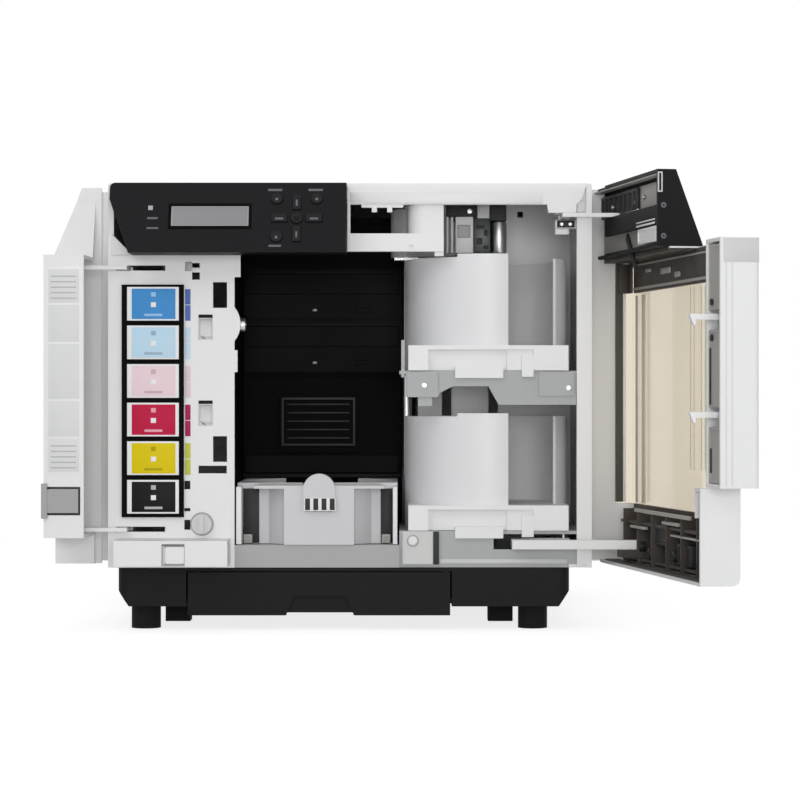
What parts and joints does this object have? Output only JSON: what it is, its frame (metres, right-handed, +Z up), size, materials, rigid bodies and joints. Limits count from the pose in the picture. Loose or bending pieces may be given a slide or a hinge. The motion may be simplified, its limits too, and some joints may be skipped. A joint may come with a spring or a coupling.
{
  "type": "desktop disc publisher",
  "caption": "Desktop machine that copies and prints discs, with an ink cover and a windowed disc cover standing open, pull-out stackers, trays and a swinging disc arm.",
  "frame": {"origin": "on the floor, under the middle of the whole part's bounding box with both covers open", "axes": "+X to the machine's right, +Y to its back, +Z up"},
  "size_m": [0.5202, 0.6754, 0.348],
  "materials": {
    "casing_grey": "satin",
    "frame_white": "satin",
    "shelf_grey": "satin",
    "trim_black": "satin",
    "drive_black": "gloss",
    "stacker_white": "gloss",
    "window_smoke": "gloss",
    "lcd_glass": "gloss",
    "button_grey": "satin",
    "arm_grey": "satin",
    "picker_dark": "satin",
    "steel": "brushed",
    "arm_white": "satin",
    "board_green": "satin",
    "foot_rubber": "matte",
    "ink_black": "satin",
    "ink_yellow": "satin",
    "ink_crimson": "satin",
    "ink_pink": "satin",
    "ink_pale_blue": "satin",
    "ink_blue": "satin"
  },
  "bodies": {
    "casing": {"base_pan": "trim_black", "feet": "foot_rubber", "left_side_cover": "casing_grey", "right_side_cover": "casing_grey", "top_cover": "casing_grey", "rear_cover": "casing_grey", "ac_inlet": "drive_black", "inner_frame": "frame_white", "control_panel": "trim_black", "lcd_window": "lcd_glass", "panel_board": "board_green", "ink_bay_panel": "frame_white", "ink_cage": "trim_black", "hinge_pins": "steel", "bay_lining": "trim_black", "bay_floor": "shelf_grey", "upper_shelf": "shelf_grey", "lower_shelf": "shelf_grey", "printer_body": "trim_black", "arm_shaft": "steel", "drive_1": "drive_black", "drive_2": "drive_black"},
    "ink_cover_body": {"ink_cover": "frame_white", "ink_cover_arms": "arm_white"},
    "ink_latch_body": {"ink_cover_latch": "button_grey"},
    "disc_cover_body": {"disc_cover_frame": "frame_white", "disc_cover_fairing": "trim_black", "disc_cover_window": "window_smoke", "disc_cover_handle": "frame_white", "disc_cover_liner": "trim_black", "disc_cover_arms": "arm_white"},
    "carriage_body": {"arm_carriage": "steel"},
    "picker_body": {"picker_arm": "arm_grey", "picker_head": "picker_dark"},
    "lock_body": {"ink_bay_lock": "drive_black"},
    "power_body": {"power_button": "button_grey"},
    "fan_body": {"fan_rotor": "drive_black"},
    "drawer_body": {"output_drawer": "trim_black"},
    "stacker_1_body": {"stacker_1": "stacker_white"},
    "stacker_2_body": {"stacker_2": "stacker_white"},
    "stacker_3_body": {"stacker_3": "stacker_white"},
    "drive_tray_1_body": {"drive_tray_1": "drive_black"},
    "drive_tray_2_body": {"drive_tray_2": "drive_black"},
    "printer_tray_body": {"printer_tray": "drive_black"},
    "ink_cartridge_1_body": {"ink_cartridge_1": "ink_black"},
    "ink_cartridge_2_body": {"ink_cartridge_2": "ink_yellow"},
    "ink_cartridge_3_body": {"ink_cartridge_3": "ink_crimson"},
    "ink_cartridge_4_body": {"ink_cartridge_4": "ink_pink"},
    "ink_cartridge_5_body": {"ink_cartridge_5": "ink_pale_blue"},
    "ink_cartridge_6_body": {"ink_cartridge_6": "ink_blue"},
    "eject_1_body": {"eject_button_1": "button_grey"},
    "eject_2_body": {"eject_button_2": "button_grey"},
    "button_top_left_body": {"button_top_left": "button_grey"},
    "button_top_right_body": {"button_top_right": "button_grey"},
    "button_bottom_left_body": {"button_bottom_left": "button_grey"},
    "button_centre_body": {"button_centre": "button_grey"},
    "button_left_body": {"button_left": "button_grey"},
    "button_right_body": {"button_right": "button_grey"},
    "button_up_body": {"button_up": "button_grey"},
    "button_down_body": {"button_down": "button_grey"}
  },
  "joints": [
    {"name": "ink_cover_hinge", "type": "hinge", "parent": "casing", "child": "ink_cover_body", "pos_m": [-0.19834, -0.05978, 0.18], "axis": [0, 0, -1], "range_deg": [-92, 0]},
    {"name": "ink_latch_slide", "type": "slide", "parent": "ink_cover_body", "child": "ink_latch_body", "axis": [0.9994, -0.0349, 0], "range_m": [0, 0.003], "stiffness_N_per_m": 300, "springref_m": -0.002},
    {"name": "disc_cover_hinge", "type": "hinge", "parent": "casing", "child": "disc_cover_body", "pos_m": [0.14466, -0.05528, 0.18], "axis": [0, 0, 1], "range_deg": [-100, 0]},
    {"name": "carriage_lift", "type": "slide", "parent": "casing", "child": "carriage_body", "axis": [0, 0, 1], "range_m": [-0.066, 0]},
    {"name": "picker_swing", "type": "hinge", "parent": "carriage_body", "child": "picker_body", "pos_m": [0.02116, 0.03672, 0.31], "axis": [0, 0, -1], "range_deg": [0, 118]},
    {"name": "lock_turn", "type": "hinge", "parent": "casing", "child": "lock_body", "pos_m": [-0.13864, -0.07928, 0.0826], "axis": [0, 1, 0], "range_deg": [0, 90]},
    {"name": "power_press", "type": "slide", "parent": "casing", "child": "power_body", "axis": [0, 1, 0], "range_m": [0, 0.0015], "stiffness_N_per_m": 800, "springref_m": -0.001},
    {"name": "fan_spin", "type": "hinge", "parent": "casing", "child": "fan_body", "pos_m": [0.08666, 0.32572, 0.25], "axis": [0, 1, 0], "continuous": true},
    {"name": "drawer_slide", "type": "slide", "parent": "casing", "child": "drawer_body", "axis": [0, -1, 0], "range_m": [0, 0.2]},
    {"name": "stacker_1_slide", "type": "slide", "parent": "casing", "child": "stacker_1_body", "axis": [0, -1, 0], "range_m": [0, 0.15]},
    {"name": "stacker_2_slide", "type": "slide", "parent": "casing", "child": "stacker_2_body", "axis": [0, -1, 0], "range_m": [0, 0.15]},
    {"name": "stacker_3_slide", "type": "slide", "parent": "casing", "child": "stacker_3_body", "axis": [0, -1, 0], "range_m": [0, 0.15]},
    {"name": "drive_tray_1_slide", "type": "slide", "parent": "casing", "child": "drive_tray_1_body", "axis": [0, -1, 0], "range_m": [0, 0.13]},
    {"name": "drive_tray_2_slide", "type": "slide", "parent": "casing", "child": "drive_tray_2_body", "axis": [0, -1, 0], "range_m": [0, 0.13]},
    {"name": "printer_tray_slide", "type": "slide", "parent": "casing", "child": "printer_tray_body", "axis": [0, -1, 0], "range_m": [0, 0.121]},
    {"name": "ink_cartridge_1_slide", "type": "slide", "parent": "casing", "child": "ink_cartridge_1_body", "axis": [0, -1, 0], "range_m": [0, 0.06]},
    {"name": "ink_cartridge_2_slide", "type": "slide", "parent": "casing", "child": "ink_cartridge_2_body", "axis": [0, -1, 0], "range_m": [0, 0.06]},
    {"name": "ink_cartridge_3_slide", "type": "slide", "parent": "casing", "child": "ink_cartridge_3_body", "axis": [0, -1, 0], "range_m": [0, 0.06]},
    {"name": "ink_cartridge_4_slide", "type": "slide", "parent": "casing", "child": "ink_cartridge_4_body", "axis": [0, -1, 0], "range_m": [0, 0.06]},
    {"name": "ink_cartridge_5_slide", "type": "slide", "parent": "casing", "child": "ink_cartridge_5_body", "axis": [0, -1, 0], "range_m": [0, 0.06]},
    {"name": "ink_cartridge_6_slide", "type": "slide", "parent": "casing", "child": "ink_cartridge_6_body", "axis": [0, -1, 0], "range_m": [0, 0.06]},
    {"name": "eject_1_press", "type": "slide", "parent": "casing", "child": "eject_1_body", "axis": [0, 1, 0], "range_m": [0, 0.001], "stiffness_N_per_m": 500, "springref_m": -0.001},
    {"name": "eject_2_press", "type": "slide", "parent": "casing", "child": "eject_2_body", "axis": [0, 1, 0], "range_m": [0, 0.001], "stiffness_N_per_m": 500, "springref_m": -0.001},
    {"name": "button_top_left_press", "type": "slide", "parent": "casing", "child": "button_top_left_body", "axis": [0, 0.9385, -0.3453], "range_m": [0, 0.0008], "stiffness_N_per_m": 500, "springref_m": -0.001},
    {"name": "button_top_right_press", "type": "slide", "parent": "casing", "child": "button_top_right_body", "axis": [0, 0.9385, -0.3453], "range_m": [0, 0.0008], "stiffness_N_per_m": 500, "springref_m": -0.001},
    {"name": "button_bottom_left_press", "type": "slide", "parent": "casing", "child": "button_bottom_left_body", "axis": [0, 0.9385, -0.3453], "range_m": [0, 0.0008], "stiffness_N_per_m": 500, "springref_m": -0.001},
    {"name": "button_centre_press", "type": "slide", "parent": "casing", "child": "button_centre_body", "axis": [0, 0.9385, -0.3453], "range_m": [0, 0.0008], "stiffness_N_per_m": 500, "springref_m": -0.001},
    {"name": "button_left_press", "type": "slide", "parent": "casing", "child": "button_left_body", "axis": [0, 0.9385, -0.3453], "range_m": [0, 0.0008], "stiffness_N_per_m": 500, "springref_m": -0.001},
    {"name": "button_right_press", "type": "slide", "parent": "casing", "child": "button_right_body", "axis": [0, 0.9385, -0.3453], "range_m": [0, 0.0008], "stiffness_N_per_m": 500, "springref_m": -0.001},
    {"name": "button_up_press", "type": "slide", "parent": "casing", "child": "button_up_body", "axis": [0, 0.9385, -0.3453], "range_m": [0, 0.0008], "stiffness_N_per_m": 500, "springref_m": -0.001},
    {"name": "button_down_press", "type": "slide", "parent": "casing", "child": "button_down_body", "axis": [0, 0.9385, -0.3453], "range_m": [0, 0.0008], "stiffness_N_per_m": 500, "springref_m": -0.001}
  ]
}
